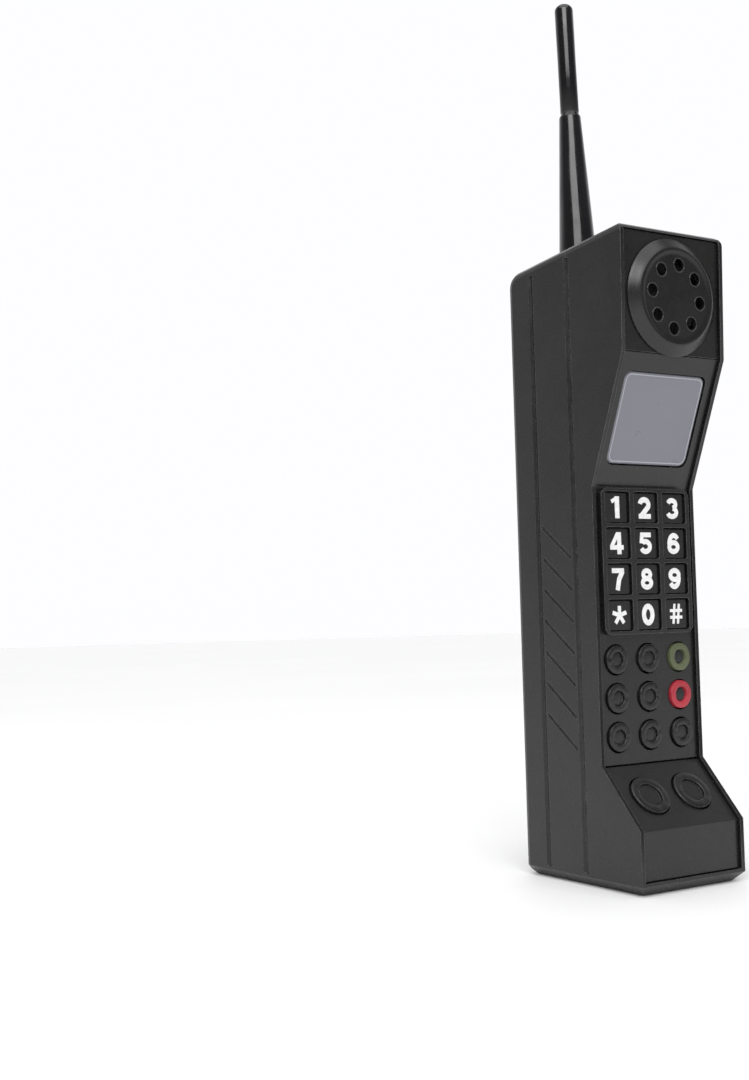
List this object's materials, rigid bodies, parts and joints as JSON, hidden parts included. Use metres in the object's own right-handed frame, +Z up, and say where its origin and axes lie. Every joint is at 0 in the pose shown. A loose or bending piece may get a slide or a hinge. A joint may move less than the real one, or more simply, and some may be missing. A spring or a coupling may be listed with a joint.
{
  "type": "toy mobile phone",
  "caption": "Retro brick-shaped toy handset with a stepped front, conical earpiece, display pane, number keys, ring-shaped buttons and a telescoping antenna.",
  "frame": {"origin": "on the surface that the handset stands on, under the middle of its bounding box", "axes": "+Z up towards the antenna, -Y out of the keypad side, +X to the right of someone who looks at the keys"},
  "size_m": [0.05, 0.067, 0.3346],
  "materials": {
    "satin_black": "satin moulded plastic",
    "panel_black": "satin moulded plastic, a little lighter",
    "gloss_black": "glossy moulded plastic",
    "window_grey": "opaque lavender-grey display pane, smooth",
    "olive_green": "satin moulded plastic",
    "signal_red": "satin moulded plastic",
    "grey_rubber": "moulded silicone rubber",
    "board_green": "circuit board with solder resist",
    "zinc_steel": "zinc plated",
    "brass": "bright",
    "cell_sleeve": "printed sleeve on a dry cell",
    "cone_paper": "pressed paper"
  },
  "bodies": {
    "housing": {"antenna_nut": "brass", "antenna_sleeve": "gloss_black", "battery_cell_1": "cell_sleeve", "battery_cell_2": "cell_sleeve", "battery_cell_3": "cell_sleeve", "battery_contact_1": "brass", "battery_contact_2": "brass", "battery_contact_3": "brass", "battery_holder": "satin_black", "battery_spring_1": "zinc_steel", "battery_spring_2": "zinc_steel", "battery_spring_3": "zinc_steel", "display_backing": "satin_black", "display_window": "window_grey", "earpiece_cap": "satin_black", "earpiece_panel": "panel_black", "front_housing": "satin_black", "housing_screw_1": "zinc_steel", "housing_screw_2": "zinc_steel", "housing_screw_3": "zinc_steel", "housing_screw_4": "zinc_steel", "keypad_bezel": "satin_black", "lower_panel": "panel_black", "main_board": "board_green", "main_mat": "grey_rubber", "main_panel": "panel_black", "rear_housing": "satin_black", "slope_board": "board_green", "slope_mat": "grey_rubber", "sound_chip": "gloss_black", "speaker_cone": "cone_paper", "speaker_frame": "zinc_steel"},
    "key_1": {"key_1": "satin_black"},
    "key_2": {"key_2": "satin_black"},
    "key_3": {"key_3": "satin_black"},
    "key_4": {"key_4": "satin_black"},
    "key_5": {"key_5": "satin_black"},
    "key_6": {"key_6": "satin_black"},
    "key_7": {"key_7": "satin_black"},
    "key_8": {"key_8": "satin_black"},
    "key_9": {"key_9": "satin_black"},
    "key_star": {"key_star": "satin_black"},
    "key_0": {"key_0": "satin_black"},
    "key_hash": {"key_hash": "satin_black"},
    "function_button_1": {"function_button_1": "satin_black"},
    "function_button_2": {"function_button_2": "satin_black"},
    "function_button_3": {"function_button_3": "olive_green"},
    "function_button_4": {"function_button_4": "satin_black"},
    "function_button_5": {"function_button_5": "satin_black"},
    "function_button_6": {"function_button_6": "signal_red"},
    "function_button_7": {"function_button_7": "satin_black"},
    "function_button_8": {"function_button_8": "satin_black"},
    "function_button_9": {"function_button_9": "satin_black"},
    "large_button_left": {"large_button_left": "satin_black"},
    "large_button_right": {"large_button_right": "satin_black"},
    "battery_door": {"battery_door": "satin_black"},
    "antenna_rod": {"antenna_rod": "gloss_black"}
  },
  "joints": [
    {"name": "key_1_press", "type": "slide", "parent": "housing", "child": "key_1", "axis": [0, 1, 0], "range_m": [0, 0.001], "stiffness_N_per_m": 1000},
    {"name": "key_2_press", "type": "slide", "parent": "housing", "child": "key_2", "axis": [0, 1, 0], "range_m": [0, 0.001], "stiffness_N_per_m": 1000},
    {"name": "key_3_press", "type": "slide", "parent": "housing", "child": "key_3", "axis": [0, 1, 0], "range_m": [0, 0.001], "stiffness_N_per_m": 1000},
    {"name": "key_4_press", "type": "slide", "parent": "housing", "child": "key_4", "axis": [0, 1, 0], "range_m": [0, 0.001], "stiffness_N_per_m": 1000},
    {"name": "key_5_press", "type": "slide", "parent": "housing", "child": "key_5", "axis": [0, 1, 0], "range_m": [0, 0.001], "stiffness_N_per_m": 1000},
    {"name": "key_6_press", "type": "slide", "parent": "housing", "child": "key_6", "axis": [0, 1, 0], "range_m": [0, 0.001], "stiffness_N_per_m": 1000},
    {"name": "key_7_press", "type": "slide", "parent": "housing", "child": "key_7", "axis": [0, 1, 0], "range_m": [0, 0.001], "stiffness_N_per_m": 1000},
    {"name": "key_8_press", "type": "slide", "parent": "housing", "child": "key_8", "axis": [0, 1, 0], "range_m": [0, 0.001], "stiffness_N_per_m": 1000},
    {"name": "key_9_press", "type": "slide", "parent": "housing", "child": "key_9", "axis": [0, 1, 0], "range_m": [0, 0.001], "stiffness_N_per_m": 1000},
    {"name": "key_star_press", "type": "slide", "parent": "housing", "child": "key_star", "axis": [0, 1, 0], "range_m": [0, 0.001], "stiffness_N_per_m": 1000},
    {"name": "key_0_press", "type": "slide", "parent": "housing", "child": "key_0", "axis": [0, 1, 0], "range_m": [0, 0.001], "stiffness_N_per_m": 1000},
    {"name": "key_hash_press", "type": "slide", "parent": "housing", "child": "key_hash", "axis": [0, 1, 0], "range_m": [0, 0.001], "stiffness_N_per_m": 1000},
    {"name": "function_button_1_press", "type": "slide", "parent": "housing", "child": "function_button_1", "axis": [0, 1, 0], "range_m": [0, 0.001], "stiffness_N_per_m": 1000},
    {"name": "function_button_2_press", "type": "slide", "parent": "housing", "child": "function_button_2", "axis": [0, 1, 0], "range_m": [0, 0.001], "stiffness_N_per_m": 1000},
    {"name": "function_button_3_press", "type": "slide", "parent": "housing", "child": "function_button_3", "axis": [0, 1, 0], "range_m": [0, 0.001], "stiffness_N_per_m": 1000},
    {"name": "function_button_4_press", "type": "slide", "parent": "housing", "child": "function_button_4", "axis": [0, 1, 0], "range_m": [0, 0.001], "stiffness_N_per_m": 1000},
    {"name": "function_button_5_press", "type": "slide", "parent": "housing", "child": "function_button_5", "axis": [0, 1, 0], "range_m": [0, 0.001], "stiffness_N_per_m": 1000},
    {"name": "function_button_6_press", "type": "slide", "parent": "housing", "child": "function_button_6", "axis": [0, 1, 0], "range_m": [0, 0.001], "stiffness_N_per_m": 1000},
    {"name": "function_button_7_press", "type": "slide", "parent": "housing", "child": "function_button_7", "axis": [0, 1, 0], "range_m": [0, 0.001], "stiffness_N_per_m": 1000},
    {"name": "function_button_8_press", "type": "slide", "parent": "housing", "child": "function_button_8", "axis": [0, 1, 0], "range_m": [0, 0.001], "stiffness_N_per_m": 1000},
    {"name": "function_button_9_press", "type": "slide", "parent": "housing", "child": "function_button_9", "axis": [0, 1, 0], "range_m": [0, 0.001], "stiffness_N_per_m": 1000},
    {"name": "large_button_left_press", "type": "slide", "parent": "housing", "child": "large_button_left", "axis": [0, 0.7435, -0.6688], "range_m": [0, 0.001], "stiffness_N_per_m": 1000},
    {"name": "large_button_right_press", "type": "slide", "parent": "housing", "child": "large_button_right", "axis": [0, 0.7435, -0.6688], "range_m": [0, 0.001], "stiffness_N_per_m": 1000},
    {"name": "battery_door_hinge", "type": "hinge", "parent": "housing", "child": "battery_door", "pos_m": [0, 0.03347, 0.066], "axis": [-1, 0, 0], "range_deg": [0, 70]},
    {"name": "antenna_slide", "type": "slide", "parent": "housing", "child": "antenna_rod", "axis": [0, -0.0349, -0.9994], "range_m": [0, 0.038]}
  ]
}
